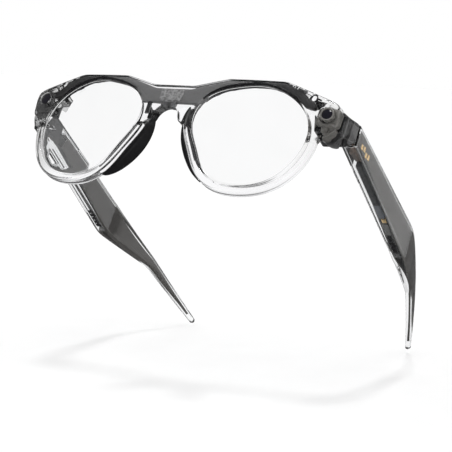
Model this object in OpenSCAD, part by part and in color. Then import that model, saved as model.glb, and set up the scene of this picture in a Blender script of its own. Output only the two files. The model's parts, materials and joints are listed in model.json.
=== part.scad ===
// Smart glasses standing open: z = 0 at the lower rims and temple tips,
// the front faces -Y, the temples run towards +Y, left and right are the wearer's.

/* [Lenses] */
// Distance from the middle plane to a lens centre
lens_x = 36; // [34:0.5:38]
// Mean radius of the lens opening
lens_r = 22.2; // [20:0.1:24]
// Extra half width of the opening over its half height
lens_oval = 1.05; // [0:0.05:2]
// Lean of the opening towards its upper outer corner
lens_lean = -0.7; // [-1:0.1:1]
// How far the opening is full at its upper corners
lens_brow = 1.1; // [0:0.05:1.5]
// How flat the opening is along its nose side
lens_flat = -0.5; // [-0.8:0.02:0]
// Small fifth-order correction of the opening
lens_trim = 0.4; // [0:0.01:0.6]
// Thickness of a lens
lens_t = 2; // [1.6:0.1:2.4]

/* [Front] */
// Width of the rim around a lens
rim_w = 3.2; // [3:0.1:4]
// Depth of the front from face to back
front_t = 4.8; // [4:0.1:6]
// Radius of the front's wrap around the face
wrap_r = 298; // [220:1:400]
// Height of the bridge's underside
bridge_z = 34; // [32:0.1:35]
// Radius of the arch under the bridge
arch_r = 5.4; // [4.5:0.1:6.5]
// Outer half width of the end pieces where the temples meet them
front_half = 74; // [73:0.1:75]
// Depth of the end pieces, to the plane where the temples meet them
mitre_y = 15.5; // [14:0.1:17]

/* [Temples] */
// Thickness of a temple
temple_t = 6.4; // [6:0.1:7]
// Length of a temple's straight electronics section
temple_len = 66.4; // [60:0.2:70]
// Length of the slim tip section
tip_len = 68; // [64:0.2:76]
// Outward splay of an open temple in degrees
splay = 0.6; // [0:0.1:3]
// Inward bend of the tip section in degrees
tip_bend = 15; // [10:0.1:20]
// Wall of the clear shell
wall = 1.1; // [0.9:0.1:1.4]

/* [Hinges] */
// Height of the hinge barrel
hinge_h = 12; // [9:0.5:13]
// Radius of the hinge knuckles
knuckle_r = 2.1; // [1.8:0.1:2.2]
// Radius of the hinge screw's shank
screw_r = 0.7; // [0.5:0.05:0.9]
// Running clearance of the hinge screw
run_gap = 0.05; // [0.02:0.01:0.08]

/* [Hidden] */
$fn = 64;

// Small gaps: between bodies, between pieces of one body, and around a moving button
body_gap = 0.3;
fit_gap = 0.03;
slide_gap = 0.15;

// Heights on the front
bridge_top = 43;
brow_in = [23.2, 47];
brow_out = [46.2, 48.2];
end_top = [66.3, 42.3];
end_low = 27.5;

// Outer corners of an end piece: on the front's face, behind it, and at the mitre
face_corners = [[68.4, 41.1], [69, 39], [68.2, 31.8], [63.3, end_low]];
block_y = 3.3;
block_front = [[57, 43.7], [65.2, 42.3], [67, 41.3], [67.6, 39], [66.9, 32.4], [63, 27.7], [61, 27.7]];
block_back = [[57.5, 42.5], [66.5, 41.5], [71.5, 39.9], [front_half, 37.8], [front_half, 31],
    [72.6, 29.2], [66, 28.3], [61, 28.3]];

// Temple profile: heights at the mitre, at the kink and at the tip
top_0 = 39.3;
low_0 = 29.5;
top_k = 27.55;
low_k = 13.3;
tip_mid = 33;
tip_mid_z = [12.4, 17.2];
tip_bow = 1.2;
tip_end_z = [0, 2.4];
temple_x = 67.65;
temple_y = mitre_y + body_gap;
top_slope = atan((top_0 - top_k) / temple_len);

// Hinge axis
hinge_x = 65.1;
hinge_y = mitre_y + body_gap / 2;
hinge_z0 = 29.2;
leaf_t = 1;
leaf_len = 10.5;
knuckle_h = hinge_h * 0.29;
knuckle_gap = 0.1;
screw_head_r = 1.4;
screw_head_h = 0.8;

// Layers across a temple, measured from its inner face
cover_t = 1;
core_w = [1.05, 1.75];
middle_w = [1.85, 4.45];
touch_w = [4.6, 5.2];

// Eyelet at each end of the carrier
eyelet = [56.7, 42.6];
// Clear skin over the channel for the carrier
brow_skin = 0.7;

// Nose pads: angles round the lens, depths and the most they stand off the rim
pad_arc = [161, 236];
pad_y = [-0.6, 7.4];
pad_t = 2.9;

// Camera and light, and the pocket that holds each
eye_x = 64.2;
eye_z = 37.6;
eye_yaw = 9;
eye_r = 2.5;
bezel_r = 3.3;
pocket = [[58.9, 29.2], [64.1, 29.2], [68.6, 32.6], [68.6, 38.8], [66.8, 40.4], [58.9, 40.4]];
pocket_y = 7.3;

// Capture button and power switch along the temple
button_u = 22;
button_size = [3, 11, 1.5];
button_proud = 0.6;
switch_u = 20;
switch_size = [1.4, 3.2, 1.8];
switch_travel = 2.4;
switch_drop = 5.2;

// The whole model is shifted so that y = 0 is the middle of its depth
tip_y = temple_y + temple_len + tip_len * cos(tip_bend - splay);
origin_y = -(tip_y - front_t / 2) / 2;

// ---------- outlines ----------

// Radius of the lens opening at an angle, offset outwards
function opening_r(a, off) = lens_r + off + lens_oval * cos(2 * a) + lens_lean * sin(2 * a)
    + lens_brow * sin(3 * a) + lens_flat * sin(4 * a) + lens_trim * sin(5 * a);

// The lowest point of the rim stands at z = 0
lens_z = -min([for (a = [240:1:300]) opening_r(a, rim_w) * sin(a)]);

function opening(off, n = 90) = [for (i = [0:n - 1]) let (a = 360 * i / n)
    [lens_x + opening_r(a, off) * cos(a), lens_z + opening_r(a, off) * sin(a)]];

// Upper edge of the front, drawn in by an inset
function brow_edge(i) = [[0, bridge_top - i], [9, bridge_top - i],
    [brow_in[0] + i * 0.2, brow_in[1] - i], [brow_out[0], brow_out[1] - i],
    [end_top[0] - i * 0.3, end_top[1] - i]];

module front_outline() {
    polygon(opening(rim_w));
    polygon(concat(brow_edge(0), face_corners, [[lens_x + 20, end_low],
        [lens_x, lens_z], [lens_x - 20, lens_z + 2], [9, 29], [0, 29]]));
}

module nose_arch() {
    translate([0, bridge_z - arch_r]) circle(r = arch_r);
    translate([-arch_r, 0]) square([2 * arch_r, bridge_z - arch_r]);
}

// Both halves of a flat shape
module both() {
    children();
    mirror([1, 0, 0]) children();
}

// Stands a flat shape up and gives it the wrap of the front between two depths
module wrapped(y0, y1) {
    intersection() {
        translate([0, 20, 0]) rotate([90, 0, 0]) linear_extrude(30) children();
        difference() {
            translate([0, wrap_r, -5]) cylinder(r = wrap_r - y0, h = 70, $fn = 360);
            translate([0, wrap_r, -6]) cylinder(r = wrap_r - y1, h = 72, $fn = 360);
        }
    }
}

module place() {
    translate([0, origin_y, 0]) children();
}

// side = 1 is the wearer's left (+X), side = -1 the right
module on_side(side) {
    place() mirror([side < 0 ? 1 : 0, 0, 0]) children();
}

// ---------- front ----------

// An upright sheet of a flat shape whose rear face is at a depth
module sheet(y, t = 0.1) {
    translate([0, y, 0]) rotate([90, 0, 0]) linear_extrude(t) children();
}

// Block behind the face that widens towards the mitre
module end_block() {
    intersection() {
        hull() {
            sheet(block_y) polygon(block_front);
            sheet(mitre_y) polygon(block_back);
        }
        translate([0, wrap_r, 0]) cylinder(r = wrap_r + front_t / 2, h = 60, $fn = 360);
    }
}

// A shaft along the line of sight of the camera or the light
module eye_axis(r, y0, y1) {
    translate([eye_x, 5.2, eye_z]) rotate([0, 0, eye_yaw])
        translate([0, y1, 0]) rotate([90, 0, 0]) cylinder(r = r, h = y1 - y0);
}

// The hollow of an end piece between two depths, drawn in by an inset
module pocket_fill(y0, y1, inset) {
    sheet(y1, y1 - y0) offset(delta = -inset) polygon(pocket);
}

module hinge_clearance() {
    translate([hinge_x, hinge_y, end_low - 1]) cylinder(r = knuckle_r + 0.3, h = 20);
}

// Channel for the carrier in the back of the brow
module channel_outline() {
    difference() {
        polygon(concat(brow_edge(brow_skin), [[60, 36], [lens_x, 30], [9, bridge_z + 1.2],
            [0, bridge_z + 1.2]]));
        polygon(opening(1));
    }
}

module half_front() {
    difference() {
        union() {
            wrapped(-front_t / 2, front_t / 2) difference() {
                front_outline();
                polygon(opening(0));
                nose_arch();
            }
            end_block();
        }
        wrapped(-lens_t / 2 - fit_gap, lens_t / 2 + fit_gap) polygon(opening(0.8 + fit_gap));
        wrapped(-1.2, front_t / 2 + 0.1) channel_outline();
        pocket_fill(pocket_y, mitre_y + 1, 0);
        hinge_clearance();
        eye_axis(bezel_r + fit_gap, -6, 3);
        wrapped(pad_y[0] - fit_gap, pad_y[1]) polygon(pad_outline(fit_gap));
        translate([0.9, -1.2, bridge_z - 1]) cube([2.06, 2.4, 3]);
    }
}

// Slim microphone in front of the right nose pad, grown by a gap
module nose_mic_body(gap) {
    translate([-9.4 - gap, -2 - gap, 30 - gap]) cube([1.7 + 2 * gap, 1.2 + 2 * gap, 5.1 + 2 * gap]);
}

module front_frame() {
    color("aliceblue", 0.4) place() difference() {
        both() half_front();
        nose_mic_body(fit_gap);
        translate([0, 0, 1]) nose_mic_body(fit_gap);
    }
}

module brow_cover() {
    color("aliceblue", 0.4) place() both()
        wrapped(1.5, front_t / 2) intersection() {
            channel_outline();
            square([57, 60]);
        }
}

module brow_carrier() {
    color("dimgray") place() difference() {
        both() wrapped(-1.15, 1.45) difference() {
            union() {
                intersection() {
                    channel_outline();
                    square([56.2, 60]);
                }
                translate(eyelet) circle(r = 1.6);
            }
            translate(eyelet) circle(r = 0.9);
            polygon(opening(1.05));
        }
        translate([-5.4, -1.2, bridge_z + 1.1]) cube([10.8, 0.7, 8.2]);
        translate([0, 0, -1]) both() translate([0.8, -1.3, bridge_z]) cube([2.3, 2.6, 3]);
    }
}

module bridge_flex() {
    color("lightgray") place()
        translate([-5.2, -1.15, bridge_z + 3]) cube([10.4, 0.6, 5.2]);
}

module nose_mic() {
    color("#202224") place() nose_mic_body(0);
}

module charge_contacts() {
    color("#77787a") place() both()
        translate([0.95, -1.15, bridge_z - 0.45]) cube([1.96, 2.3, 2.4]);
}

module lens(side) {
    color("white", 0.25) on_side(side) wrapped(-lens_t / 2, lens_t / 2) polygon(opening(0.8));
}

// Crescent that follows the nose side of the rim, grown by a gap on its outer side
function pad_outline(gap, n = 26) = concat(
    [for (i = [0:n]) let (a = pad_arc[0] - gap + (pad_arc[1] - pad_arc[0] + 2 * gap) * i / n)
        [lens_x + opening_r(a, rim_w + 0.02 - gap) * cos(a),
            lens_z + opening_r(a, rim_w + 0.02 - gap) * sin(a)]],
    [for (i = [n:-1:0]) let (a = pad_arc[0] - gap + (pad_arc[1] - pad_arc[0] + 2 * gap) * i / n,
        t = rim_w + 0.3 + gap + pad_t * sin(180 * i / n))
        [lens_x + opening_r(a, t) * cos(a), lens_z + opening_r(a, t) * sin(a)]]);

module nose_pad(side) {
    color("#1c1c1e") on_side(side) wrapped(pad_y[0], pad_y[1]) polygon(pad_outline(0));
}

// ---------- camera and light in the end pieces ----------

module eye_housing(side, colour) {
    color(colour) on_side(side) difference() {
        pocket_fill(pocket_y + 0.1, pocket_y + 4.2, 0.1);
        eye_axis(eye_r + 0.1, -6, 12);
    }
}

module camera_housing() {
    eye_housing(1, "#a9a49c");
}

module led_housing() {
    eye_housing(-1, "#8d8d8f");
}

module camera_bezel() {
    color("silver") on_side(1) difference() {
        eye_axis(bezel_r, -0.5, 1.2);
        eye_axis(eye_r, -3, 3);
    }
}

module camera_lens() {
    color("#0a0a12") on_side(1) eye_axis(eye_r - fit_gap, -0.3, 3.2);
}

module camera_module() {
    color("#26282c") on_side(1) translate([59.8, 11.6, 32.8]) cube([8.6, 1.5, 6]);
}

module led_window() {
    color("#101012") on_side(-1) union() {
        eye_axis(bezel_r, -0.5, 1.2);
        eye_axis(eye_r - fit_gap, 1.2, 3);
    }
}

module led_board() {
    color("#26282c") on_side(-1) translate([59.8, 11.6, 32.8]) cube([8.6, 1.5, 6]);
}

// ---------- hinges ----------

module hinge_axis(r, z0, z1) {
    translate([hinge_x, hinge_y, z0]) cylinder(r = r, h = z1 - z0);
}

hinge_z1 = hinge_z0 + knuckle_h;
hinge_z2 = hinge_z0 + hinge_h - knuckle_h;
hinge_z3 = hinge_z0 + hinge_h;

module hinge_front(side) {
    color("#77787a") on_side(side) difference() {
        union() {
            hinge_axis(knuckle_r, hinge_z0, hinge_z3);
            intersection() {
                pocket_fill(13.4, 15.6, 0.1);
                union() {
                    translate([hinge_x - knuckle_r, 13.4, end_low]) cube([10, leaf_t, 20]);
                    translate([hinge_x - knuckle_r, 13.4, end_low]) cube([knuckle_r, 2.2, 20]);
                }
            }
        }
        hinge_axis(knuckle_r + 0.25, hinge_z1 - knuckle_gap, hinge_z2 + knuckle_gap);
        hinge_axis(screw_r + run_gap, hinge_z1 - 1, hinge_z3 + 1);
        hinge_axis(screw_r, hinge_z0 - 1, hinge_z2);
        hinge_axis(screw_head_r + run_gap, hinge_z3 - screw_head_h, hinge_z3 + 1);
    }
}

module hinge_screws() {
    color("#3a3b3d") place() both() difference() {
        union() {
            hinge_axis(screw_r, hinge_z0 + 0.2, hinge_z3 - 0.1);
            hinge_axis(screw_head_r, hinge_z3 - screw_head_h, hinge_z3 - 0.1);
        }
        translate([hinge_x - 0.2, hinge_y - 2, hinge_z3 - 0.45]) cube([0.4, 4, 1]);
    }
}

module hinge_temple(side) {
    color("#77787a") on_side(side) difference() {
        union() {
            hinge_axis(knuckle_r, hinge_z1 + knuckle_gap, hinge_z2 - knuckle_gap);
            translate([hinge_x, hinge_y + 0.4, hinge_z1 + knuckle_gap])
                cube([temple_x - hinge_x - fit_gap, 2.6, hinge_z2 - hinge_z1 - 2 * knuckle_gap]);
            temple_place() slab([-0.3, leaf_t - 0.1])
                polygon(side_outline(wall + fit_gap, wall + leaf_len, wall + 0.1));
        }
        hinge_axis(screw_r + run_gap, hinge_z0, hinge_z3);
    }
}

// ---------- temples ----------

// Temple frame: x across from the inner face, y along from the mitre
module temple_place() {
    translate([temple_x, temple_y, 0]) rotate([0, 0, -splay]) children();
}

module tip_place() {
    translate([temple_t / 2, temple_len, 0]) rotate([0, 0, tip_bend]) children();
}

function top_z(u) = top_0 + (top_k - top_0) * u / temple_len;
function low_z(u) = low_0 + (low_k - low_0) * u / temple_len;

// Side outline of the straight section between two stations, drawn in by an inset
function side_outline(u0, u1, i) = [[u0, low_z(u0) + i], [u1, low_z(u1) + i],
    [u1, top_z(u1) - i], [u0, top_z(u0) - i]];

// Stands a side outline up and gives it a thickness from w[0] to w[1]
module slab(w) {
    translate([w[0], 0, 0]) rotate([90, 0, 90]) linear_extrude(w[1] - w[0]) children();
}

// Upright slice of the tip section, set outwards by a bow
module tip_slice(t, z, half, bow = 0) {
    tip_place() translate([bow - half, t, z[0]]) cube([2 * half, 0.6, z[1] - z[0]]);
}

module kink_slice() {
    translate([0, temple_len - 0.6, low_k]) cube([temple_t, 0.6, top_k - low_k]);
}

module temple_body() {
    slab([0, temple_t]) polygon(side_outline(0, temple_len, 0));
    hull() {
        kink_slice();
        tip_slice(tip_mid, tip_mid_z, 2, tip_bow);
    }
    hull() {
        tip_slice(tip_mid, tip_mid_z, 2, tip_bow);
        tip_slice(tip_len - 0.6, tip_end_z, 1.3);
    }
}

// Thin spine that runs from the inner side of the straight section into the tip
module core_body() {
    slab(core_w) difference() {
        polygon(side_outline(leaf_len + 2, temple_len - wall, 1.4));
        translate([switch_u - 4.5, top_z(switch_u) - switch_drop - 2.7]) square([9.6, 5]);
    }
    hull() {
        translate([core_w[0], temple_len - wall - 0.1, low_k + 1.7])
            cube([core_w[1] - core_w[0], 0.1, top_k - low_k - 3]);
        tip_slice(tip_mid, [tip_mid_z[0] + 0.9, tip_mid_z[1] - 0.7], 0.5, tip_bow);
    }
    hull() {
        tip_slice(tip_mid, [tip_mid_z[0] + 0.9, tip_mid_z[1] - 0.7], 0.5, tip_bow);
        tip_slice(tip_len - 4, [tip_end_z[0] + 2.2, tip_end_z[1] + 0.9], 0.4);
    }
}

// A box in the sloped frame of the temple's upper edge at station u
module sloped(u, drop) {
    translate([0, u, top_z(u) - drop]) rotate([-top_slope, 0, 0]) children();
}

// The button, grown by a gap around it and by a reach up and down
module button_body(gap, reach) {
    sloped(button_u, 0) translate([(temple_t - button_size[0]) / 2 - gap, -button_size[1] / 2 - gap,
        button_proud - button_size[2] - reach])
        cube([button_size[0] + 2 * gap, button_size[1] + 2 * gap, button_size[2] + 2 * reach]);
}

module switch_slot() {
    sloped(switch_u, switch_drop) translate([-1, -switch_size[1] / 2 - slide_gap, -switch_size[2] / 2 - slide_gap])
        cube([3, switch_size[1] + switch_travel + 2 * slide_gap, switch_size[2] + 2 * slide_gap]);
}

module grille_row(gap) {
    for (u = [52:2.2:61]) sloped(u, top_z(u) - low_z(u) + 0.6)
        translate([middle_w[0] + 0.3 - gap, -0.7 - gap, -0.6])
            cube([2 + 2 * gap, 1.4 + 2 * gap, 2.4]);
}

module temple_shell(side) {
    color("aliceblue", 0.4) on_side(side) temple_place() difference() {
        temple_body();
        slab([-1, temple_t - wall]) polygon(side_outline(wall, temple_len - wall, wall));
        core_body();
        if (side < 0) button_body(slide_gap, 1);
        grille_row(0.1);
    }
}

module temple_cover(side) {
    color("aliceblue", 0.4) on_side(side) temple_place() difference() {
        slab([0, cover_t]) polygon(side_outline(wall + leaf_len + 0.2, temple_len - wall - fit_gap,
            wall + fit_gap));
        if (side > 0) switch_slot();
    }
}

module temple_core(side) {
    color("#5c5b58") on_side(side) temple_place() core_body();
}

module touch_plate(side) {
    u1 = temple_len - 2.4;
    color("#6f6d69") on_side(side) temple_place() slab(touch_w)
        polygon([[3, low_z(3) + 1.6], [u1, low_z(u1) + 1.6], [u1, top_z(u1) - 7],
            [u1 - 6, top_z(u1 - 6) - 1.6], [3, top_z(3) - 1.6]]);
}

module main_board(side) {
    color("#2a2c30") on_side(side) temple_place() union() {
        slab([2.9, 3.7]) polygon(side_outline(13, 38, 1.9));
        for (i = [0:2]) slab([1.9, 2.9]) polygon([[14 + 8 * i, low_z(15) - 1.6 * i + 1.4],
            [20 + 8 * i, low_z(15) - 1.6 * i + 1.4], [20 + 8 * i, low_z(15) - 1.6 * i + 6.4],
            [14 + 8 * i, low_z(15) - 1.6 * i + 6.4]]);
    }
}

module board_contacts(side) {
    color("goldenrod") on_side(side) temple_place() for (i = [0:3])
        translate([3.75, 13.8 + 1.6 * i, low_z(16) + 2.4]) cube([0.75, 0.9, 3]);
}

module battery(side) {
    color("#9a9a98") on_side(side) temple_place()
        slab(middle_w) polygon(side_outline(38.6, 50.8, 3.2));
}

module speaker(side) {
    color("#303236") on_side(side) temple_place()
        slab(middle_w) polygon(side_outline(51.4, 62.4, 3));
}

module speaker_grille(side) {
    color("#17181a") on_side(side) temple_place() intersection() {
        grille_row(0);
        slab([0, temple_t]) polygon(side_outline(wall, temple_len, 0.3));
    }
}

module microphone(side) {
    color("#6b5a4c") on_side(side) temple_place()
        translate([middle_w[0], 4.6, low_z(4.6) + 1.4]) cube([2.4, 7, 3.6]);
}

module power_switch() {
    color("#d8d9db") on_side(1) temple_place() sloped(switch_u, switch_drop) union() {
        translate([-0.5, -switch_size[1] / 2, -switch_size[2] / 2])
            cube([1.55, switch_size[1], switch_size[2]]);
        translate([cover_t + 0.05, -switch_size[1] / 2 - 0.4, -switch_size[2] / 2 - 0.6])
            cube([0.6, switch_size[1] + 0.8, switch_size[2] + 1.2]);
    }
}

module capture_button() {
    color("#c9ccd0") on_side(-1) temple_place() button_body(0, 0);
}

// ---------- drawing ----------

front_frame();
brow_cover();
brow_carrier();
bridge_flex();
nose_mic();
charge_contacts();
lens(1);  // lens_left
lens(-1);  // lens_right
nose_pad(1);  // nose_pad_left
nose_pad(-1);  // nose_pad_right
camera_housing();
camera_bezel();
camera_lens();
camera_module();
led_housing();
led_window();
led_board();
hinge_front(1);  // hinge_front_left
hinge_front(-1);  // hinge_front_right
hinge_screws();
temple_shell(1);  // temple_shell_left
temple_cover(1);  // temple_cover_left
temple_core(1);  // temple_core_left
touch_plate(1);  // touch_plate_left
main_board(1);  // main_board_left
board_contacts(1);  // board_contacts_left
battery(1);  // battery_left
speaker(1);  // speaker_left
speaker_grille(1);  // speaker_grille_left
microphone(1);  // microphone_left
hinge_temple(1);  // hinge_temple_left
power_switch();
temple_shell(-1);  // temple_shell_right
temple_cover(-1);  // temple_cover_right
temple_core(-1);  // temple_core_right
touch_plate(-1);  // touch_plate_right
main_board(-1);  // main_board_right
board_contacts(-1);  // board_contacts_right
battery(-1);  // battery_right
speaker(-1);  // speaker_right
speaker_grille(-1);  // speaker_grille_right
microphone(-1);  // microphone_right
hinge_temple(-1);  // hinge_temple_right
capture_button();
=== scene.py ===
"""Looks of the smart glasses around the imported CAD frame.

Lengths in this script are millimetres in the shared frame until MM turns them into metres:
the front faces -Y, the temples run towards +Y, and left and right are the wearer's.
"""

import json
import math

import bmesh
import bpy
from mathutils import Matrix, Vector
from mathutils.geometry import delaunay_2d_cdt

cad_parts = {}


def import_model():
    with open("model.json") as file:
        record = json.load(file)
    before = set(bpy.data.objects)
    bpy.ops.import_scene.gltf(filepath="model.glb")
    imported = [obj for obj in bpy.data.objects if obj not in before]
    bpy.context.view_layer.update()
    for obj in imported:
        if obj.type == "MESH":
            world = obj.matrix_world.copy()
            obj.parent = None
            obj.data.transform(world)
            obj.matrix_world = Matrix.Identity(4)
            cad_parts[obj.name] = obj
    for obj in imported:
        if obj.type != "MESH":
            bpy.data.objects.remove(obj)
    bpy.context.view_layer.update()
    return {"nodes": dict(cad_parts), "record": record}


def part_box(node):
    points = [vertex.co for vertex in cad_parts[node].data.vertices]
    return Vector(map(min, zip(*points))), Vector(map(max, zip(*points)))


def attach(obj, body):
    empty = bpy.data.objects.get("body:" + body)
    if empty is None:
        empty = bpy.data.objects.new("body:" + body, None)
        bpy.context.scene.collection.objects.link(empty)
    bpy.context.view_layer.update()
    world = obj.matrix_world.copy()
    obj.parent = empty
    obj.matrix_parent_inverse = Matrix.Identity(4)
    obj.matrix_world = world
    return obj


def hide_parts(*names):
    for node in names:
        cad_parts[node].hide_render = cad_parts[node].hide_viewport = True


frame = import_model()

MM = 0.001
LEFT, RIGHT = 1, -1
SIDES = {"left": LEFT, "right": RIGHT}

# Front
LENS_X, LENS_R, RIM_W, LENS_T = 36.0, 22.2, 3.2, 2.0
LENS_WAVES = ((2, 1.05, -0.7), (3, 0.0, 1.1), (4, 0.0, -0.5), (5, 0.0, 0.4))
FRONT_T, WRAP_R, FRONT_ROUND = 4.8, 298.0, 0.9
BRIDGE_TOP, BRIDGE_Z, ARCH_R = 43.0, 34.0, 5.4
EYELET = (57.5, 42.7)
MITRE_Y = 15.5
HINGE = (65.1, 15.65)
EYE = (64.2, 37.6)
EYE_YAW = 9.0

# Temples: stations u run along a temple from its front end, w across it from its inner face
TEMPLE_X, TEMPLE_Y, TEMPLE_T = 67.65, 15.8, 6.4
KINK_U, TIP_U, END_U = 66.4, 98.3, 132.0
SPLAY = math.radians(0.6)
TIP_IN = math.tan(math.radians(15))
TIP_BOW = 1.15
TOP_Z = (39.3, 27.55, 17.2, 2.4)
LOW_Z = (29.5, 13.3, 12.4, 0.0)
WALL = 1.1
TIP_HALF, END_HALF = 2.0, 1.3

# The CAD front's nearest point is the middle of the bridge's face
ORIGIN_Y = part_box("front_frame")[0].y / MM + FRONT_T / 2


# ---------------------------------------------------------------- shapes


def lens_radius(a, off=0.0):
    """Radius of the lens opening at angle a, in radians, offset outwards."""
    waves = sum(c * math.cos(k * a) + s * math.sin(k * a) for k, c, s in LENS_WAVES)
    return LENS_R + off + waves


LENS_Z = -min(lens_radius(math.radians(d), RIM_W) * math.sin(math.radians(d)) for d in range(240, 301))


def opening(off, start=0.0, stop=360.0, count=240):
    """Points round the left lens opening, from one angle to another."""
    angles = [math.radians(start + (stop - start) * i / count) for i in range(count)]
    return [
        (LENS_X + lens_radius(a, off) * math.cos(a), LENS_Z + lens_radius(a, off) * math.sin(a))
        for a in angles
    ]


def wrap(x):
    """How far back the wrap of the front lies at a distance from the middle."""
    return WRAP_R - math.sqrt(WRAP_R * WRAP_R - x * x)


def filleted(points, steps=8):
    """A line through (x, z, radius) corners, each rounded to its radius."""
    line = []
    for i, (x, z, r) in enumerate(points):
        here = Vector((x, z))
        if r == 0 or i in (0, len(points) - 1):
            line.append((x, z))
            continue
        before = Vector(points[i - 1][:2]) - here
        after = Vector(points[i + 1][:2]) - here
        half = before.angle(after) / 2
        reach = min(r / math.tan(half), 0.48 * before.length, 0.48 * after.length)
        a, b = here + before.normalized() * reach, here + after.normalized() * reach
        for k in range(steps + 1):
            t = k / steps
            p = a * (1 - t) ** 2 + here * 2 * t * (1 - t) + b * t * t
            line.append((p.x, p.y))
    return line


def resampled(line, step):
    """A closed loop again with points a step apart."""
    pts = [Vector(p) for p in line]
    pts.append(pts[0])
    total = sum((b - a).length for a, b in zip(pts, pts[1:]))
    count = max(3, round(total / step))
    out, want, run = [], 0.0, 0.0
    for a, b in zip(pts, pts[1:]):
        length = (b - a).length
        while want <= run + length + 1e-9 and len(out) < count:
            t = (want - run) / length if length else 0
            out.append(tuple(a.lerp(b, t)))
            want += total / count
        run += length
    return out


def area(loop):
    """Area of a loop, positive when it runs counter-clockwise."""
    return sum(a[0] * b[1] - b[0] * a[1] for a, b in zip(loop, loop[1:] + loop[:1])) / 2


def inset(loop, d):
    """A counter-clockwise loop moved inwards by d."""
    n, out = len(loop), []
    for i in range(n):
        a, b, c = (Vector(loop[(i + k) % n]) for k in (-1, 0, 1))
        t = ((b - a).normalized() + (c - b).normalized()).normalized()
        out.append((b.x - t.y * d, b.y + t.x * d))
    return out


def inside(p, loop):
    """Whether a point lies inside a loop."""
    hit, n = False, len(loop)
    for i in range(n):
        (x0, y0), (x1, y1) = loop[i], loop[(i + 1) % n]
        if (y0 > p[1]) != (y1 > p[1]) and p[0] < (x1 - x0) * (p[1] - y0) / (y1 - y0) + x0:
            hit = not hit
    return hit


def region(outer, holes, grid):
    """Triangles that fill a loop with holes, with a grid of points inside."""
    loops = [outer, *holes]
    pts, edges = [], []
    for loop in loops:
        base = len(pts)
        pts += [Vector(p) for p in loop]
        edges += [(base + i, base + (i + 1) % len(loop)) for i in range(len(loop))]
    if grid:
        xs, ys = [p[0] for p in outer], [p[1] for p in outer]
        margins = [inset(outer, grid * 0.6)] + [inset(h, -grid * 0.6) for h in holes]
        x = math.ceil(min(xs) / grid) * grid
        while x < max(xs):
            y = math.ceil(min(ys) / grid) * grid
            while y < max(ys):
                if inside((x, y), margins[0]) and not any(inside((x, y), m) for m in margins[1:]):
                    pts.append(Vector((x, y)))
                y += grid
            x += grid
    verts, _, faces, *_ = delaunay_2d_cdt(pts, edges, [], 0, 1e-5)
    kept = []
    for f in faces:
        c = (sum(verts[i].x for i in f) / 3, sum(verts[i].y for i in f) / 3)
        if inside(c, outer) and not any(inside(c, h) for h in holes):
            kept.append(tuple(f))
    return [(v.x, v.y) for v in verts], kept


def plate(bm, outer, holes, back, front, rounding, place, grid=1.5, steps=4):
    """A plate between two depths with rounded edges. place puts (x, z, depth) in space, and
    depth runs from front (the low value) to back."""
    if area(outer) < 0:
        outer = outer[::-1]
    holes = [h if area(h) > 0 else h[::-1] for h in holes]
    corner = min(rounding, (back - front) / 2 * 0.98)
    arcs = [(corner * (1 - math.cos(t)), corner * (1 - math.sin(t)))
            for t in (math.pi / 2 * k / steps for k in range(steps + 1))]
    ring_depths = [(i, front + d) for i, d in arcs[::-1]] + [(i, back - d) for i, d in arcs]
    for loop, sign in [(outer, 1)] + [(h, -1) for h in holes]:
        rings = [[bm.verts.new(place(x, z, d)) for x, z in inset(loop, sign * i)] for i, d in ring_depths]
        n = len(loop)
        for a, b in zip(rings, rings[1:]):
            for i in range(n):
                j = (i + 1) % n
                quad = (a[i], a[j], b[j], b[i])
                bm.faces.new(quad if sign > 0 else quad[::-1])
    flat_outer = inset(outer, corner)
    flat_holes = [inset(h, -corner) for h in holes]
    verts, tris = region(flat_outer, flat_holes, grid)
    for depth, flip in ((front, False), (back, True)):
        made = [bm.verts.new(place(x, z, depth)) for x, z in verts]
        for t in tris:
            tri = [made[i] for i in t]
            if area([verts[i] for i in t]) < 0:
                tri.reverse()
            bm.faces.new(tri[::-1] if flip else tri)
    bmesh.ops.remove_doubles(bm, verts=bm.verts, dist=2e-6)


def loft(bm, rings):
    """Quads between rings of points, with the ends filled."""
    made = [[bm.verts.new(p) for p in ring] for ring in rings]
    n = len(rings[0])
    for a, b in zip(made, made[1:]):
        for i in range(n):
            j = (i + 1) % n
            bm.faces.new((a[i], a[j], b[j], b[i]))
    bm.faces.new(made[0][::-1])
    bm.faces.new(made[-1])


def smoothed(mesh, angle=35.0):
    """Smooth shading, with the creases sharper than an angle in degrees kept."""
    for polygon in mesh.polygons:
        polygon.use_smooth = True
    mesh.set_sharp_from_angle(angle=math.radians(angle))


def finish_mesh(bm, name, material, crease=35.0):
    """A mesh object in the scene, with its normals outwards and its creases kept."""
    bmesh.ops.recalc_face_normals(bm, faces=bm.faces)
    mesh = bpy.data.meshes.new(name)
    bm.to_mesh(mesh)
    bm.free()
    obj = bpy.data.objects.new(name, mesh)
    bpy.context.scene.collection.objects.link(obj)
    mesh.materials.append(material)
    smoothed(mesh, crease)
    return obj


def hollow_out(obj, inner):
    """Adds the closed surface of another mesh to an object, turned inside out."""
    bm = bmesh.new()
    bm.from_mesh(obj.data)
    before = len(bm.faces)
    bm.from_mesh(inner.data)
    bm.faces.ensure_lookup_table()
    bmesh.ops.reverse_faces(bm, faces=bm.faces[before:])
    bpy.data.objects.remove(inner)
    bm.to_mesh(obj.data)
    bm.free()


def front_place(side):
    """Places (x, z, depth) on the wrapped front."""
    return lambda x, z, d: Vector((side * x, ORIGIN_Y + wrap(x) + d, z)) * MM


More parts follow.
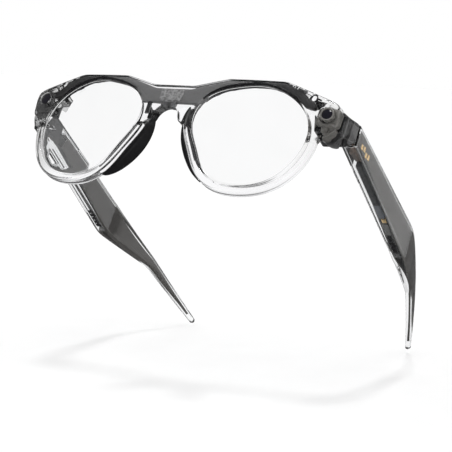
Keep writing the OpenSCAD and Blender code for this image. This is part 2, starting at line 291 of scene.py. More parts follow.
def bent(values, s, soft=0.9):
    """A height along a temple: straight between its stations, with soft corners."""
    stations = (0.0, KINK_U, TIP_U, END_U)
    slopes = [(b - a) / (t - s0) for a, b, s0, t in zip(values, values[1:], stations, stations[1:])]
    out = values[0] + slopes[0] * s
    for k in (1, 2):
        d = (s - stations[k]) / soft
        softened = soft * (math.log1p(math.exp(min(d, 40.0))) if d < 40 else d)
        out += (slopes[k] - slopes[k - 1]) * softened
    return out


def temple_centre(s):
    """Across-temple place of the middle of its thickness."""
    d = (s - KINK_U) / 2.0
    bow = TIP_BOW * math.sin(math.pi * max(0.0, s - KINK_U) / (END_U - KINK_U))
    return TEMPLE_T / 2 + bow - TIP_IN * 2.0 * (math.log1p(math.exp(d)) if d < 40 else d)


def temple_half(s):
    """Half thickness of a temple at a station."""
    if s <= KINK_U:
        return TEMPLE_T / 2
    if s <= TIP_U:
        return TEMPLE_T / 2 + (TIP_HALF - TEMPLE_T / 2) * (s - KINK_U) / (TIP_U - KINK_U)
    return TIP_HALF + (END_HALF - TIP_HALF) * (s - TIP_U) / (END_U - TIP_U)


def temple_point(side, w, u, z):
    """A place on a temple in space, from its place across, its station and its height."""
    x = TEMPLE_X + w * math.cos(SPLAY) + u * math.sin(SPLAY)
    y = TEMPLE_Y - w * math.sin(SPLAY) + u * math.cos(SPLAY) + ORIGIN_Y
    return Vector((side * x, y, z)) * MM


def rounded_section(w0, w1, z0, z1, r, arc=5, edge=6):
    """Points round a rectangle with rounded corners, the same count for every size."""
    r = min(r, (w1 - w0) * 0.49, (z1 - z0) * 0.49)
    pts = []
    corners = ((w1 - r, z0 + r, -90), (w1 - r, z1 - r, 0), (w0 + r, z1 - r, 90), (w0 + r, z0 + r, 180))
    for k, (cw, cz, start) in enumerate(corners):
        for i in range(arc + 1):
            a = math.radians(start + 90 * i / arc)
            pts.append((cw + r * math.cos(a), cz + r * math.sin(a)))
        nw, nz, ns = corners[(k + 1) % 4]
        a = math.radians(ns)
        end = (nw + r * math.cos(a), nz + r * math.sin(a))
        last = pts[-1]
        for i in range(1, edge):
            t = i / edge
            pts.append((last[0] + (end[0] - last[0]) * t, last[1] + (end[1] - last[1]) * t))
    return pts


# ---------------------------------------------------------------- materials

# Painted shade: the clear front's tint greys towards both ends, most on the right
FRONT_PAINTED_SHADE = ((0.09, (0.62, 0.62, 0.62)), (0.14, (0.8, 0.8, 0.8)), (0.2, (0.99, 0.99, 1.0)),
               (0.88, (0.99, 0.99, 1.0)), (0.94, (0.86, 0.86, 0.85)))
# Painted light and shade on the carrier: paler near the bridge, almost black towards the outer ends
CARRIER_PAINTED_SHADE = ((0.15, (0.21, 0.21, 0.21)), (0.5, (0.17, 0.17, 0.17)), (0.74, (0.012, 0.012, 0.0125)))


def new_material(name):
    """A material with its node tree and its shader."""
    m = bpy.data.materials.new(name)
    m.use_nodes = True
    return m, m.node_tree, m.node_tree.nodes["Principled BSDF"]


def noise(nt, scale, detail=3.0):
    """Fine noise fixed to the object."""
    coords = nt.nodes.new("ShaderNodeTexCoord")
    n = nt.nodes.new("ShaderNodeTexNoise")
    n.inputs["Scale"].default_value = scale
    n.inputs["Detail"].default_value = detail
    nt.links.new(coords.outputs["Object"], n.inputs["Vector"])
    return n


def ramp(nt, value, stops):
    """A colour from a value, by (position, colour) stops."""
    r = nt.nodes.new("ShaderNodeValToRGB")
    for element, (position, colour) in zip(r.color_ramp.elements, (stops[0], stops[-1])):
        element.position, element.color = position, (*colour, 1)
    for pos, col in stops[1:-1]:
        e = r.color_ramp.elements.new(pos)
        e.color = (*col, 1)
    nt.links.new(value, r.inputs["Fac"])
    return r.outputs["Color"]


def bump(nt, height, shader, strength, distance):
    """Fine relief on a shader from a height."""
    b = nt.nodes.new("ShaderNodeBump")
    b.inputs["Strength"].default_value = strength
    b.inputs["Distance"].default_value = distance
    nt.links.new(height, b.inputs["Height"])
    nt.links.new(b.outputs["Normal"], shader.inputs["Normal"])


def lets_lamps_through(nt, shader, passed):
    """Rays from lamps go straight through the clear plastic, dimmed a little."""
    out = nt.nodes["Material Output"]
    path = nt.nodes.new("ShaderNodeLightPath")
    clear = nt.nodes.new("ShaderNodeBsdfTransparent")
    clear.inputs["Color"].default_value = (passed, passed, passed, 1)
    mix = nt.nodes.new("ShaderNodeMixShader")
    nt.links.new(path.outputs["Is Shadow Ray"], mix.inputs["Fac"])
    nt.links.new(shader.outputs["BSDF"], mix.inputs[1])
    nt.links.new(clear.outputs["BSDF"], mix.inputs[2])
    nt.links.new(mix.outputs["Shader"], out.inputs["Surface"])


def object_x(nt):
    """The object's X coordinate, in metres."""
    coords = nt.nodes.new("ShaderNodeTexCoord")
    split = nt.nodes.new("ShaderNodeSeparateXYZ")
    nt.links.new(coords.outputs["Object"], split.inputs["Vector"])
    return split.outputs["X"]


def make_clear(nt, shader, colour, passed):
    """Turns a shader into clear plastic of a colour that lamps shine through."""
    nt.links.new(colour, shader.inputs["Base Color"])
    shader.inputs["Roughness"].default_value = 0.0
    shader.inputs["IOR"].default_value = 1.49
    shader.inputs["Transmission Weight"].default_value = 1.0
    lets_lamps_through(nt, shader, passed)


def clear_plastic(name, tint, passed):
    """Clear plastic with very slight variation in its tint."""
    m, nt, shader = new_material(name)
    pale = tuple(c * 0.985 for c in tint)
    make_clear(nt, shader, ramp(nt, noise(nt, 60, 2).outputs["Fac"], [(0.35, tint), (0.65, pale)]), passed)
    return m


def clear_with_painted_shade(name):
    """Clear plastic with painted shade that greys its tint towards both ends of the front, most on the
    right.
    """
    m, nt, shader = new_material(name)
    place = nt.nodes.new("ShaderNodeMath")
    place.operation = "MULTIPLY_ADD"
    place.inputs[1].default_value, place.inputs[2].default_value = 1 / (150 * MM), 0.5
    nt.links.new(object_x(nt), place.inputs[0])
    make_clear(nt, shader, ramp(nt, place.outputs["Value"], FRONT_PAINTED_SHADE), 0.93)
    return m


def speckled(name, low, high, scale, rough, metallic=0.0, bump_mm=0.0, coat=0.0, specular=0.5):
    """A solid colour with fine variation in colour, gloss and height."""
    m, nt, shader = new_material(name)
    n = noise(nt, scale, 4)
    nt.links.new(ramp(nt, n.outputs["Fac"], [(0.3, low), (0.7, high)]), shader.inputs["Base Color"])
    grey = [(0.3, (rough[0],) * 3), (0.7, (rough[1],) * 3)]
    nt.links.new(ramp(nt, n.outputs["Fac"], grey), shader.inputs["Roughness"])
    shader.inputs["Metallic"].default_value = metallic
    shader.inputs["Coat Weight"].default_value = coat
    shader.inputs["Specular IOR Level"].default_value = specular
    if bump_mm:
        bump(nt, n.outputs["Fac"], shader, 0.5, bump_mm * MM)
    return m


CLEAR = clear_plastic("clear_plastic", (0.99, 0.995, 1.0), 0.93)
FRONT_CLEAR = clear_with_painted_shade("clear_front_plastic")
LENS = clear_plastic("lens_plastic", (0.995, 0.998, 1.0), 0.97)


def charcoal_with_painted_shade():
    """Dark satin resin with painted light and shade: paler near the bridge and almost black at the outer
    ends.
    """
    m, nt, shader = new_material("charcoal_resin")
    away = nt.nodes.new("ShaderNodeMath")
    away.operation = "ABSOLUTE"
    nt.links.new(object_x(nt), away.inputs[0])
    scaled = nt.nodes.new("ShaderNodeMath")
    scaled.operation = "MULTIPLY"
    scaled.inputs[1].default_value = 1 / (60 * MM)
    nt.links.new(away.outputs["Value"], scaled.inputs[0])
    painted_shade = ramp(nt, scaled.outputs["Value"], CARRIER_PAINTED_SHADE)
    fine = noise(nt, 1500, 3)
    grain = ramp(nt, fine.outputs["Fac"], [(0.3, (0.8, 0.8, 0.8)), (0.7, (1, 1, 1))])
    both = nt.nodes.new("ShaderNodeMix")
    both.data_type, both.blend_type = "RGBA", "MULTIPLY"
    both.inputs["Factor"].default_value = 1.0
    nt.links.new(painted_shade, both.inputs["A"])
    nt.links.new(grain, both.inputs["B"])
    nt.links.new(both.outputs["Result"], shader.inputs["Base Color"])
    satin = ramp(nt, fine.outputs["Fac"], [(0.3, (0.38,) * 3), (0.7, (0.5,) * 3)])
    nt.links.new(satin, shader.inputs["Roughness"])
    return m


CHARCOAL = charcoal_with_painted_shade()
RUBBER = speckled("soft_rubber", (0.004, 0.004, 0.0045), (0.008, 0.008, 0.009), 1400, (0.3, 0.42),
                  bump_mm=0.01, specular=0.3)
PLATE = speckled("grey_plate", (0.085, 0.081, 0.076), (0.11, 0.105, 0.099), 700, (0.42, 0.55),
                 bump_mm=0.006, specular=0.2)
OUTER_PLATE = speckled("outer_plate", (0.12, 0.115, 0.108), (0.15, 0.144, 0.136), 700, (0.42, 0.55),
                       bump_mm=0.006, specular=0.2)
HOUSING = speckled("camera_metal", (0.15, 0.145, 0.135), (0.26, 0.25, 0.235), 1300, (0.35, 0.5),
                   metallic=0.2, bump_mm=0.008)
DARK_HOUSING = speckled("light_housing", (0.09, 0.09, 0.09), (0.14, 0.14, 0.14), 1300, (0.4, 0.55),
                        bump_mm=0.008)
MODULE = speckled("blue_grey_module", (0.1, 0.11, 0.13), (0.16, 0.17, 0.19), 900, (0.35, 0.5))
STEEL = speckled("hinge_steel", (0.1, 0.1, 0.102), (0.16, 0.16, 0.163), 1200, (0.35, 0.5), metallic=0.3)
BLACK = speckled("black_plastic", (0.006, 0.006, 0.007), (0.011, 0.011, 0.012), 900, (0.15, 0.25),
                 specular=0.3)
GOLD = speckled("gold", (0.75, 0.5, 0.2), (0.9, 0.66, 0.32), 1500, (0.2, 0.35), metallic=1.0)
BOARD = speckled("circuit_board", (0.005, 0.006, 0.007), (0.014, 0.015, 0.016), 1300, (0.3, 0.5),
                 specular=0.2)
WRAPPED_CELL = speckled("battery_wrap", (0.13, 0.13, 0.125), (0.2, 0.2, 0.19), 500, (0.35, 0.5))
BROWN = speckled("brown_module", (0.08, 0.055, 0.04), (0.14, 0.1, 0.075), 900, (0.4, 0.6))
FILM = speckled("etched_film", (0.14, 0.14, 0.14), (0.5, 0.5, 0.5), 1100, (0.35, 0.5))
SATIN = speckled("button_metal", (0.55, 0.56, 0.57), (0.66, 0.67, 0.68), 1500, (0.25, 0.35), metallic=0.9)
EYE_GLASS = speckled("camera_glass", (0.003, 0.003, 0.006), (0.008, 0.006, 0.014), 400, (0.02, 0.05),
                     coat=1.0)


# ---------------------------------------------------------------- front


def front_outline():
    """The left half of the front's edge, from the top of the bridge to the arch under it."""
    top = filleted([
        (0, BRIDGE_TOP, 0), (9, BRIDGE_TOP, 10), (23.2, 47.0, 9), (46.2, 48.2, 10), (66.3, 42.3, 6),
        (68.6, 40.9, 2.5), (68.9, 37.6, 3), (68.0, 31.4, 3), (63.4, 27.4, 2.5),
        opening(RIM_W, 2, 3, 1)[0] + (0,),
    ])
    ring = opening(RIM_W, 0, -183, 150)
    arch = [(ARCH_R * math.cos(a), BRIDGE_Z - ARCH_R + ARCH_R * math.sin(a))
            for a in (math.radians(10 + 80 * i / 12) for i in range(13))]
    join = filleted([ring[-1] + (0,), (6.3, 27.4, 2), arch[0] + (0,)])
    return top + ring + join[1:-1] + arch


def whole(half):
    """A closed loop from its left half and the mirror of it."""
    mirrored = [(-x, z) for x, z in reversed(half) if x > 1e-6]
    return half + mirrored


def front_frame():
    """The clear front with both lens openings."""
    bm = bmesh.new()
    outer = resampled(whole(front_outline()), 0.55)
    holes = [opening(0), [(-x, z) for x, z in opening(0)]]
    plate(bm, outer, holes, FRONT_T / 2, -FRONT_T / 2, FRONT_ROUND, front_place(1), grid=1.6)
    return finish_mesh(bm, "clear_front", FRONT_CLEAR)


END_FRONT = [(57, 43.7, 0), (65.2, 42.2, 3), (67.6, 40.6, 2), (67.3, 36, 3),
             (66.7, 31.6, 2), (63, 27.8, 1), (60, 27.8, 0)]
END_BACK = [(57.5, 42.5, 0), (67, 41.3, 3), (73.8, 38.8, 2.5), (73.9, 35, 3),
            (73.9, 30.6, 2), (70, 28.7, 2), (61, 28.4, 0)]
END_DEPTHS = (3.3, MITRE_Y)


def end_block(side):
    """The deep end piece behind the front, wider at its rear and rounded along that edge."""
    front, back = (resampled(filleted(c, 6), 0.6) for c in (END_FRONT, END_BACK))
    count = min(len(front), len(back))
    front, back = ([line[i * len(line) // count] for i in range(count)] for line in (front, back))

    def ring(y, inset_by):
        share = (y - END_DEPTHS[0]) / (END_DEPTHS[1] - END_DEPTHS[0])
        loop = [(a[0] + (b[0] - a[0]) * share, a[1] + (b[1] - a[1]) * share) for a, b in zip(front, back)]
        loop = inset(loop[::-1], inset_by)
        return [Vector((side * x, ORIGIN_Y + max(y, min(wrap(x) + 0.6, 10.4)), z)) * MM for x, z in loop]

    bm = bmesh.new()
    rounded_rear = ((MITRE_Y - 0.6, 0), (MITRE_Y - 0.18, 0.18), (MITRE_Y, 0.6))
    loft(bm, [ring(*r) for r in ((5.6, 0.05), (10.5, 0), *rounded_rear)])
    return finish_mesh(bm, f"end_{side}", FRONT_CLEAR)


def pocket(side):
    """Hollow of an end piece, open to the rear."""
    corners = [(58.9, 29.2, 1), (64.1, 29.2, 1.5), (68.6, 32.6, 2),
               (68.6, 38.8, 1.5), (66.8, 40.4, 1.5), (58.9, 40.4, 1)]
    loop = resampled(filleted([(58.9, 35, 0), *corners, (58.9, 35.2, 0)], 5), 0.7)
    bm = bmesh.new()
    loft(bm, [[Vector((side * x, ORIGIN_Y + y, z)) * MM for x, z in loop] for y in (7.2, MITRE_Y + 1)])
    return finish_mesh(bm, f"pocket_{side}", FRONT_CLEAR)


def hinge_room(side):
    """Room for the hinge barrel in the rear of an end piece."""
    bm = bmesh.new()
    circle = [(math.cos(math.tau * i / 40), math.sin(math.tau * i / 40)) for i in range(40)]
    x, y, radius = HINGE[0], ORIGIN_Y + HINGE[1], 2.4
    loft(bm, [[Vector((side * (x + radius * c), y + radius * n, z)) * MM for c, n in circle]
              for z in (26.4, 44.6)])
    return finish_mesh(bm, f"hinge_room_{side}", FRONT_CLEAR)


def eye_point(x, z, along):
    """A place on the line of sight of the camera or the light, for the left side."""
    yaw = math.radians(EYE_YAW)
    return Vector((EYE[0] + x * math.cos(yaw) - along * math.sin(yaw),
                   ORIGIN_Y + 5.2 + along * math.cos(yaw) + x * math.sin(yaw), EYE[1] + z))


def turned(bm, side, profile, count=48):
    """A round part on a line of sight from (radius, depth) points, closed at both ends."""
    rings = []
    for r, along in profile:
        ring = []
        for i in range(count):
            a = math.tau * i / count
            p = eye_point(r * math.cos(a), r * math.sin(a), along)
            ring.append(Vector((side * p.x, p.y, p.z)) * MM)
        rings.append(ring)
    loft(bm, rings)


EYE_SHIFT = {LEFT: (0.25, -0.7), RIGHT: (-0.45, 0.35)}


def shifted_eye(obj, side):
    """Moves a part of the camera or the light from the common line of sight to its own."""
    x, z = EYE_SHIFT[side]
    obj.data.transform(Matrix.Translation(Vector((x * side, 0, z)) * MM))
    return obj


def eye_bore(side):
    """Bore of an end piece for the camera or the light."""
    bm = bmesh.new()
    turned(bm, side, [(2.82, -6), (2.82, 3.05)])
    obj = finish_mesh(bm, f"eye_bore_{side}", FRONT_CLEAR)
    return shifted_eye(obj, side)


def combined(a, b, operation):
    """The first object after a boolean with the second, which is used up."""
    mod = a.modifiers.new("combine", "BOOLEAN")
    mod.operation, mod.solver, mod.object = operation, "EXACT", b
    dg = bpy.context.evaluated_depsgraph_get()
    mesh = bpy.data.meshes.new_from_object(a.evaluated_get(dg))
    a.modifiers.clear()
    a.data = mesh
    bpy.data.objects.remove(b)
    return a


clear_front = front_frame()
for side in SIDES.values():
    clear_front = combined(clear_front, end_block(side), "UNION")
for side in SIDES.values():
    for cutter in (pocket, hinge_room, eye_bore):
        clear_front = combined(clear_front, cutter(side), "DIFFERENCE")
smoothed(clear_front.data)
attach(clear_front, "front")
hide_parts("front_frame", "brow_cover")


def lens(name, side):
    """A clear lens that follows the wrap of the front."""
    bm = bmesh.new()
    plate(bm, opening(-0.03), [], LENS_T / 2, -LENS_T / 2, 0.2, front_place(side), grid=2.0, steps=2)
    obj = finish_mesh(bm, f"glass_{name}", LENS)
    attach(obj, "front")
    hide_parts(f"lens_{name}")


def brow_carrier():
    """Charcoal band inside the brow, over both lenses and the bridge."""
    skin = 0.75
    top = filleted([(0, 41.3, 0), (8, 41.4, 8), (22.6, 46.1, 9), (45.9, 48.2 - skin, 10),
                    (53.0, 45.0, 5), (56.4, 42.2, 2), (58.6, 41.0, 0)])
    low_start, low_stop = 36.0, 140.0
    under = opening(0.95, low_start, low_stop, 90)
    end = [(59.5, 39.6), (58.9, 38.2), (57.2, 38.3)]
    bridge_low = filleted([under[-1] + (0,), (13.2, BRIDGE_Z + 1.4, 3),
                           (8, BRIDGE_Z + 1.3, 0), (0, BRIDGE_Z + 1.3, 0)])
    loop = top + end + under + bridge_low[1:]
    bm = bmesh.new()
    outer = resampled(whole(loop), 0.5)
    plate(bm, outer, [], 1.5, -1.3, 0.3, front_place(1), grid=1.6, steps=2)
    obj = finish_mesh(bm, "charcoal_carrier", CHARCOAL)
    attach(obj, "front")
    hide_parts("brow_carrier")


def nose_pad(name, side):
    """Rubber crescent along the nose side of a rim."""
    a0, a1, thick = 161.0, 236.0, 2.3
    bm = bmesh.new()
    rings = []
    count = 48
    for i in range(count + 1):
        share = i / count
        a = math.radians(a0 + (a1 - a0) * share)
        swell = math.sin(math.pi * share)
        t = 0.2 + thick * swell ** 0.9
        ring = []
        sec = rounded_section(0, t, -0.6 + 1.2 * (1 - swell), 1.6 + 5.0 * swell ** 0.6, 1.0)
        for off, depth in sec:
            r = lens_radius(a, RIM_W + 0.02 + off)
            x, z = LENS_X + r * math.cos(a), LENS_Z + r * math.sin(a)
            ring.append(Vector((side * x, ORIGIN_Y + wrap(x) + depth, z)) * MM)
        rings.append(ring)
    loft(bm, rings)
    obj = finish_mesh(bm, f"pad_{name}", RUBBER)
    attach(obj, "front")
    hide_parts(f"nose_pad_{name}")


def gaskets():
    """Two black bands in the clear rim over each lens, and the eyelets at the carrier's ends."""
    bm = bmesh.new()
    for side in (LEFT, RIGHT):
        for front, back in ((-2.2, -1.12), (1.12, 2.2)):
            rings, count = [], 70
            for i in range(count + 1):
                share = i / count
                a = math.radians(34 + 116 * share)
                width = 0.15 + 0.8 * min(1.0, 6 * share, 5 * (1 - share))
                ring = []
                for off, d in rounded_section(-0.07, width, front, back, 0.12, 2, 2):
                    r = lens_radius(a, off)
                    ring.append(front_place(side)(LENS_X + r * math.cos(a), LENS_Z + r * math.sin(a), d))
                rings.append(ring)
            loft(bm, rings)
        circle = [(math.cos(math.tau * i / 36), math.sin(math.tau * i / 36)) for i in range(37)]
        wire = [(1.25 + 0.4 * math.cos(t), -0.2 + 0.5 * math.sin(t))
                for t in (math.tau * k / 12 for k in range(12))]
        loft(bm, [[front_place(side)(EYELET[0] + r * c, EYELET[1] + r * n, d) for r, d in wire]
                  for c, n in circle])
    obj = finish_mesh(bm, "lens_gaskets", BLACK)
    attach(obj, "front")


def housing(node, side, material):
    """Rounded case of the camera or the light, with the bracket that holds it."""
    bm = bmesh.new()
    dx, dz = EYE_SHIFT[side]
    radius = 2.85
    yaw_hole = [(EYE[0] - 0.75 + dx + radius * math.cos(a), EYE[1] + dz + radius * math.sin(a))
                for a in (math.tau * i / 48 for i in range(48))]

    def flat(x, z, d):
        return Vector((side * x, ORIGIN_Y + d, z)) * MM

    case = filleted([(59.6, 36, 0), (59.6, 33.2, 1.8), (64.6, 32.3, 2), (68.2, 33.4, 2),
                     (68.4, 39.2, 1.6), (66.4, 40.2, 1.5), (59.6, 40.2, 1.8), (59.6, 36.2, 0)])
    plate(bm, resampled(case, 0.4), [yaw_hole], 11.4, 7.45, 0.9, flat, grid=1.0)
    bracket = filleted([(62.2, 30, 0), (62.2, 29.4, 0.5), (64.0, 29.4, 0.8), (67.2, 31.9, 0.8),
                        (67.2, 33.2, 0.5), (62.2, 33.2, 0.5), (62.2, 30.2, 0)])
    plate(bm, resampled(bracket, 0.4), [], 12.0, 8.6, 0.4, flat, grid=1.0)
    obj = finish_mesh(bm, f"{node}_case", material)
    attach(obj, "front")
    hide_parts(node)


def eye(node, side, radius, material, replaced, ring_slot):
    """A ring with a recess and a domed dark glass in it."""
    bm = bmesh.new()
    turned(bm, side, [(2.75, 3.0), (2.75, -0.2), (2.68, -0.42), (radius + 0.12, -0.42),
                       (radius + 0.02, -0.3), (radius + 0.02, 0.1), (0.02, 0.12)])
    ring = finish_mesh(bm, f"{node}_ring", material)
    bm = bmesh.new()
    dome = [(radius * math.sin(t), -0.34 + 0.42 * (1 - math.cos(t)))
            for t in (math.pi / 2 * k / 10 for k in range(11))]
    turned(bm, side, [(max(r, 0.02), d) for r, d in dome] + [(radius - 0.1, 0.3), (0.02, 0.3)])
    glass = finish_mesh(bm, f"{node}_glass", EYE_GLASS, 60)
    for obj, nodes, slot in ((ring, replaced[:1], ring_slot), (glass, replaced[1:], "camera_glass")):
        shifted_eye(obj, side)
        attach(obj, "front")
        if nodes:
            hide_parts(*nodes)


def patch():
    """Pale film over the middle of the carrier, with notches along its lower edge."""
    bm = bmesh.new()
    half = [(0, 41.0), (4.7, 41.2), (5.1, 40.8), (5.1, 36.6), (4.4, 36.6), (4.4, 35.7), (3.2, 35.7),
            (3.2, 36.3), (2.0, 36.3), (2.0, 35.5), (0.9, 35.5), (0.9, 36.2), (0, 36.2)]
    plate(bm, resampled(whole(half), 0.35), [], -1.3, -1.55, 0.08, front_place(1), grid=0.8, steps=1)
    obj = finish_mesh(bm, "bridge_film", FILM)
    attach(obj, "front")
    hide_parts("bridge_flex")


brow_carrier()
gaskets()
patch()
eye("camera", LEFT, 2.1, HOUSING, ("camera_bezel", "camera_lens"), "camera_metal")
eye("light", RIGHT, 2.45, DARK_HOUSING, ("led_window",), "black_plastic")
housing("camera_housing", LEFT, HOUSING)
housing("led_housing", RIGHT, DARK_HOUSING)
for name, side in SIDES.items():
    lens(name, side)
    nose_pad(name, side)


# ---------------------------------------------------------------- temples


def control_room(side, station, drop, w, along, across):
    """A box in the sloped frame of a temple's upper edge, as room for a button or a switch."""
    slope = math.atan((TOP_Z[0] - TOP_Z[1]) / KINK_U)
    z0 = TOP_Z[0] - math.tan(slope) * station - drop
    bm = bmesh.new()
    rings = []
    for a in w:
        ring = []
        for i, j in ((0, 0), (1, 0), (1, 1), (0, 1)):
            b, c = along[i], across[j]
            u = station + b * math.cos(slope) + c * math.sin(slope)
            ring.append(temple_point(side, a, u, z0 - b * math.sin(slope) + c * math.cos(slope)))
        rings.append(ring)
    loft(bm, rings)
    return finish_mesh(bm, "control_room", CLEAR)


def temple_glass(name, side):
    """Clear shell and inner cover of a temple, hollow along its electronics section."""
    bm = bmesh.new()
    rings = []
    tip = [END_U - 1, END_U - 0.45, END_U - 0.1, END_U]
    for s in [0, 0.15, 0.5] + [1 + i for i in range(int(END_U) - 2)] + tip:
        end = min(s, END_U - s)
        round_off = 0.6 * (1 - math.sqrt(max(0.0, 1 - (1 - end / 0.6) ** 2))) if end < 0.6 else 0.0
        half = temple_half(s) - round_off
        centre = temple_centre(s)
        z0, z1 = bent(LOW_Z, s) + round_off, bent(TOP_Z, s, 1.6) - round_off
        sec = rounded_section(centre - half, centre + half, z0, z1, 1.15)
        middle, lean = (z0 + z1) / 2, 0.2 * max(0.0, 1 - s / KINK_U)
        sec = [(w, z + (lean * (centre - w) if z > middle else 0)) for w, z in sec]
        rings.append([temple_point(side, w, s, max(z, 0.0)) for w, z in sec])
    loft(bm, rings)
    obj = finish_mesh(bm, f"clear_temple_{name}", CLEAR)
    bm = bmesh.new()
    rings = []
    for s in [WALL, WALL + 0.2] + [2 + i for i in range(63)] + [KINK_U - WALL]:
        sec = rounded_section(0.95, TEMPLE_T - WALL, bent(LOW_Z, s) + WALL, bent(TOP_Z, s) - WALL, 0.5)
        rings.append([temple_point(side, w, s, z) for w, z in sec])
    loft(bm, rings)
    hollow_out(obj, finish_mesh(bm, "hollow", CLEAR))
    if side == RIGHT:
        room = control_room(side, 22, 0, (1.55, 4.85), (-5.65, 5.65), (-1.9, 2.5))
    else:
        room = control_room(side, 20, 5.2, (-1.5, 1.6), (-1.75, 4.15), (-1.05, 1.05))
    obj = combined(obj, room, "DIFFERENCE")
    smoothed(obj.data)
    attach(obj, f"temple_{name}")
    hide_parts(f"temple_shell_{name}", f"temple_cover_{name}")


SPINE_U, SPINE_W = 16.2, 1.4


def core(name, side):
    """Grey spine plate that tapers into the tip."""
    bm = bmesh.new()
    rings = []
    n = 110
    for i in range(n + 1):
        s = SPINE_U + (END_U - 4.5 - SPINE_U) * i / n
        share = max(0.0, min(1.0, (s - KINK_U) / (TIP_U - KINK_U)))
        w = SPINE_W + (temple_centre(s) - SPINE_W) * share
        low = bent(LOW_Z, s) + 1.1 + 2.6 * max(0.0, (56 - s) / 40)
        top = min(bent(TOP_Z, s, 1.6) - 1.2 + 0.3 * share, low + 1.6 + 2.1 * (s - SPINE_U))
        end = max(0.0, (s - (END_U - 24)) / 20)
        mid = (low + top) / 2 - 0.1
        low, top = low + (mid - low) * 0.55 * end, top + (mid - top) * 0.55 * end
        sec = rounded_section(w - 0.36, w + 0.36, low, top, 0.3)
        rings.append([temple_point(side, a, s, z) for a, z in sec])
    loft(bm, rings)
    obj = finish_mesh(bm, f"spine_{name}", PLATE)
    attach(obj, f"temple_{name}")
    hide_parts(f"temple_core_{name}")


def along_temple(bm, side, w0, w1, stations, low, top, r=0.25):
    """A rounded bar along a temple whose sides and edges are functions of the station."""
    rings = []
    for s in stations:
        sec = rounded_section(w0(s), w1(s), low(s), top(s), r, 3, 3)
        rings.append([temple_point(side, w, s, z) for w, z in sec])
    loft(bm, rings)


def spread(a, b, step):
    """Places from a to b, about a step apart."""
    count = max(1, round((b - a) / step))
    return [a + (b - a) * i / count for i in range(count + 1)]


PLATE_DEPTH, PLATE_END = 1.25, 78


def touch_plate(name, side):
    """Grey plate under the outer face that follows it past the kink to a slanted end."""
    bm = bmesh.new()
    start, rise, run = (1.8, 2.5, 54) if side == LEFT else (16, 4.0, 90)

    def outer(s):
        return temple_centre(s) + temple_half(s) - PLATE_DEPTH

    def low(s):
        return bent(LOW_Z, s) + 1.2 + rise * max(0.0, 1 - s / run)

    def top(s):
        edge = bent(TOP_Z, s, 1.6) - 0.9 - 0.5 * max(0.0, 1 - s / KINK_U)
        return max(low(s) + 0.9, min(edge, low(s) + 1.2 + 2.4 * (PLATE_END - s)))

    stations = spread(start, PLATE_END, 1.2)
    along_temple(bm, side, lambda s: outer(s) - 0.4, outer, stations, low, top)
    obj = finish_mesh(bm, f"plate_{name}", OUTER_PLATE)
    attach(obj, f"temple_{name}")
    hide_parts(f"touch_plate_{name}")


def strip(name, side, node, slot, material, u0, u1, rise, height, w0=1.95, w1=4.45, step=2.0):
    """One part of the row that shows through the bottom of a temple."""
    bm = bmesh.new()
    low = lambda s: bent(LOW_Z, s) + rise
    along_temple(bm, side, lambda s: w0, lambda s: w1, spread(u0, u1, step), low, lambda s: low(s) + height)
    obj = finish_mesh(bm, f"{node}_{slot}_{name}_look", material)
    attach(obj, f"temple_{name}")
    return obj


def electronics(name, side):
    """The row of boards, cell, speaker and contacts inside a temple."""
    lift = 0 if side == LEFT else 2.6
    if side == RIGHT:
        for k, w in enumerate((2.9, 4.5)):
            rail = strip(name, side, f"rail_{k}", "circuit_board", BOARD, 14, 62, 1.25, 0.5, w, w + 0.45)
    board = strip(name, side, "main_board", "circuit_board", BOARD, 12.2, 34, 1.3 + lift, 4.6)
    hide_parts(f"main_board_{name}")
    middle = strip(name, side, "module", "circuit_board", MODULE, 34.6, 41.8, 1.5 + lift, 4.2)
    cell = strip(name, side, "battery", "battery_wrap", WRAPPED_CELL, 45.4, 57.2, 1.4 + lift, 5.2, 1.9)
    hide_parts(f"battery_{name}")
    horn = strip(name, side, "speaker", "speaker_black", BLACK, 57.8, 64.8, 1.3 + lift / 2, 6.0, 1.85)
    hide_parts(f"speaker_{name}")
    bm = bmesh.new()
    for i in range(4):
        u = 5.0 + 2.3 * i
        z = bent(LOW_Z, u) + 3.2 + 0.8 * (i % 2)
        along_temple(bm, side, lambda s: 5.17, lambda s: 5.27,
                     spread(u, u + 1.6, 0.55), lambda s: z, lambda s: z + 2.1, 0.03)
    along_temple(bm, side, lambda s: 2.6, lambda s: 4.4, spread(42.4, 44.4, 0.5),
                 lambda s: bent(LOW_Z, s) + 1.5 + lift, lambda s: bent(LOW_Z, s) + 4.5 + lift)
    pins = finish_mesh(bm, f"contacts_{name}", GOLD)
    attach(pins, f"temple_{name}")
    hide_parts(f"board_contacts_{name}")


for name, side in SIDES.items():
    temple_glass(name, side)
    core(name, side)
    touch_plate(name, side)
    electronics(name, side)

# Materials of the CAD nodes that stay visible, by their slot
NODE_MATERIALS = {"black_plastic": BLACK, "hinge_steel": STEEL, "circuit_board": BOARD,
                  "brown_module": BROWN, "button_metal": SATIN}
for row in frame["record"]["subparts"]:
    node = frame["nodes"][row["node"]]
    if not node.hide_render:
        node.data.materials.clear()
        node.data.materials.append(NODE_MATERIALS[row["material_slot"]])


# ---------------------------------------------------------------- camera, floor and light

CAMERA_AZ, CAMERA_EL, CAMERA_ROLL = 32.07, -20.3, 17.24
CAMERA_DISTANCE, CAMERA_LENS = 614.5, 131.2
CAMERA_AIM = (32.05, -60.0, -8.07)


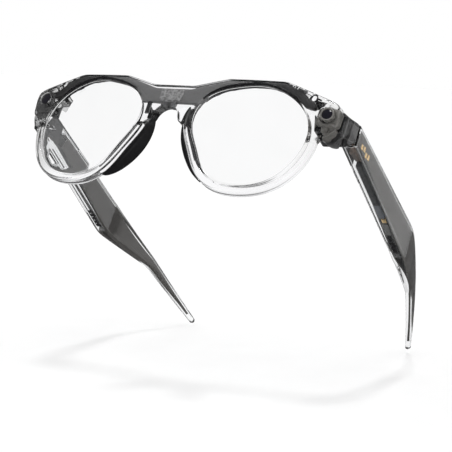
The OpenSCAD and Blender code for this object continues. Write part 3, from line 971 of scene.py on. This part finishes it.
def place_camera():
    """The camera of the photograph, aimed and rolled."""
    a, e, r = (math.radians(v) for v in (CAMERA_AZ, CAMERA_EL, CAMERA_ROLL))
    back = Vector((math.sin(a) * math.cos(e), -math.cos(a) * math.cos(e), math.sin(e)))
    level = Vector((math.cos(a), math.sin(a), 0))
    up = back.cross(level)
    right = level * math.cos(r) + up * math.sin(r)
    up = back.cross(right)
    data = bpy.data.cameras.new("camera")
    data.lens, data.sensor_width = CAMERA_LENS, 36
    data.clip_start, data.clip_end = 0.01, 20
    cam = bpy.data.objects.new("camera", data)
    bpy.context.scene.collection.objects.link(cam)
    cam.matrix_world = Matrix.Translation((Vector(CAMERA_AIM) + back * CAMERA_DISTANCE) * MM) @ Matrix(
        (right, up, back)).transposed().to_4x4()
    bpy.context.scene.camera = cam


def floor():
    """White floor that holds both temple tips, shown from its upper side only."""
    tip = Vector((0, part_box("temple_shell_left")[1].y, 0))
    normal = Vector((0, -0.555, 0.832))
    along = Vector((0, normal.z, -normal.y))
    half = 1.5
    corners = [tip + Vector((sx * half, 0, 0)) + along * (sy * half)
               for sx, sy in ((-1, -1), (1, -1), (1, 1), (-1, 1))]
    bm = bmesh.new()
    bm.faces.new([bm.verts.new(c - normal * 0.0004) for c in corners])
    m, nt, shader = new_material("floor")
    shader.inputs["Roughness"].default_value = 0.9
    n = noise(nt, 40)
    white = ramp(nt, n.outputs["Fac"], [(0.3, (0.93, 0.93, 0.93)), (0.7, (0.95, 0.95, 0.95))])
    nt.links.new(white, shader.inputs["Base Color"])
    geo = nt.nodes.new("ShaderNodeNewGeometry")
    clear = nt.nodes.new("ShaderNodeBsdfTransparent")
    mix = nt.nodes.new("ShaderNodeMixShader")
    nt.links.new(geo.outputs["Backfacing"], mix.inputs["Fac"])
    nt.links.new(shader.outputs["BSDF"], mix.inputs[1])
    nt.links.new(clear.outputs["BSDF"], mix.inputs[2])
    nt.links.new(mix.outputs["Shader"], nt.nodes["Material Output"].inputs["Surface"])
    mesh = bpy.data.meshes.new("floor")
    bm.to_mesh(mesh)
    obj = bpy.data.objects.new("floor", mesh)
    bpy.context.scene.collection.objects.link(obj)
    mesh.materials.append(m)
    obj.visible_glossy = obj.visible_transmission = False


def sun(name, towards, strength):
    """A soft lamp that shines in one direction."""
    data = bpy.data.lights.new(name, "SUN")
    data.energy, data.angle = strength, math.radians(9)
    obj = bpy.data.objects.new(name, data)
    bpy.context.scene.collection.objects.link(obj)
    obj.rotation_euler = Vector(towards).to_track_quat("-Z", "Y").to_euler()


MIRRORED = (0.12, 0.12, 0.124)
AMBIENT = 0.9
OVERHEAD = ((0.6, (1, 1, 1)), (0.82, (0.08, 0.08, 0.08)))
GLINT = ((0.5, MIRRORED), (0.72, MIRRORED), (0.78, (1, 1, 1)), (0.9, (1, 1, 1)), (0.94, MIRRORED))


def world():
    """A white studio that is dark in reflections, and steeply up and down through clear plastic."""
    w = bpy.data.worlds.new("studio")
    bpy.context.scene.world = w
    w.use_nodes = True
    nt = w.node_tree
    back = nt.nodes["Background"]
    coords = nt.nodes.new("ShaderNodeTexCoord")
    split = nt.nodes.new("ShaderNodeSeparateXYZ")
    nt.links.new(coords.outputs["Generated"], split.inputs["Vector"])

    steep = nt.nodes.new("ShaderNodeMath")
    steep.operation = "ABSOLUTE"
    nt.links.new(split.outputs["Z"], steep.inputs[0])
    dark = ramp(nt, steep.outputs["Value"], OVERHEAD)
    path = nt.nodes.new("ShaderNodeLightPath")
    glint = ramp(nt, split.outputs["X"], GLINT)

    def pick(factor, a, b):
        """Colour a, or b for one kind of ray. A missing a is AMBIENT and a missing b is white."""
        mix = nt.nodes.new("ShaderNodeMix")
        mix.data_type = "RGBA"
        nt.links.new(factor, mix.inputs["Factor"])
        mix.inputs["A"].default_value = (AMBIENT, AMBIENT, AMBIENT, 1)
        mix.inputs["B"].default_value = (1, 1, 1, 1)
        for source, slot in ((a, "A"), (b, "B")):
            if source:
                nt.links.new(source, mix.inputs[slot])
        return mix.outputs["Result"]

    glossy = pick(path.outputs["Is Glossy Ray"], None, glint)
    through = pick(path.outputs["Is Transmission Ray"], glossy, dark)
    nt.links.new(pick(path.outputs["Is Camera Ray"], through, None), back.inputs["Color"])
    back.inputs["Strength"].default_value = 1.0


place_camera()
floor()
world()
sun("key", (-0.03, 0.57, -0.82), 0.74)
bpy.context.scene.view_settings.view_transform = "Standard"
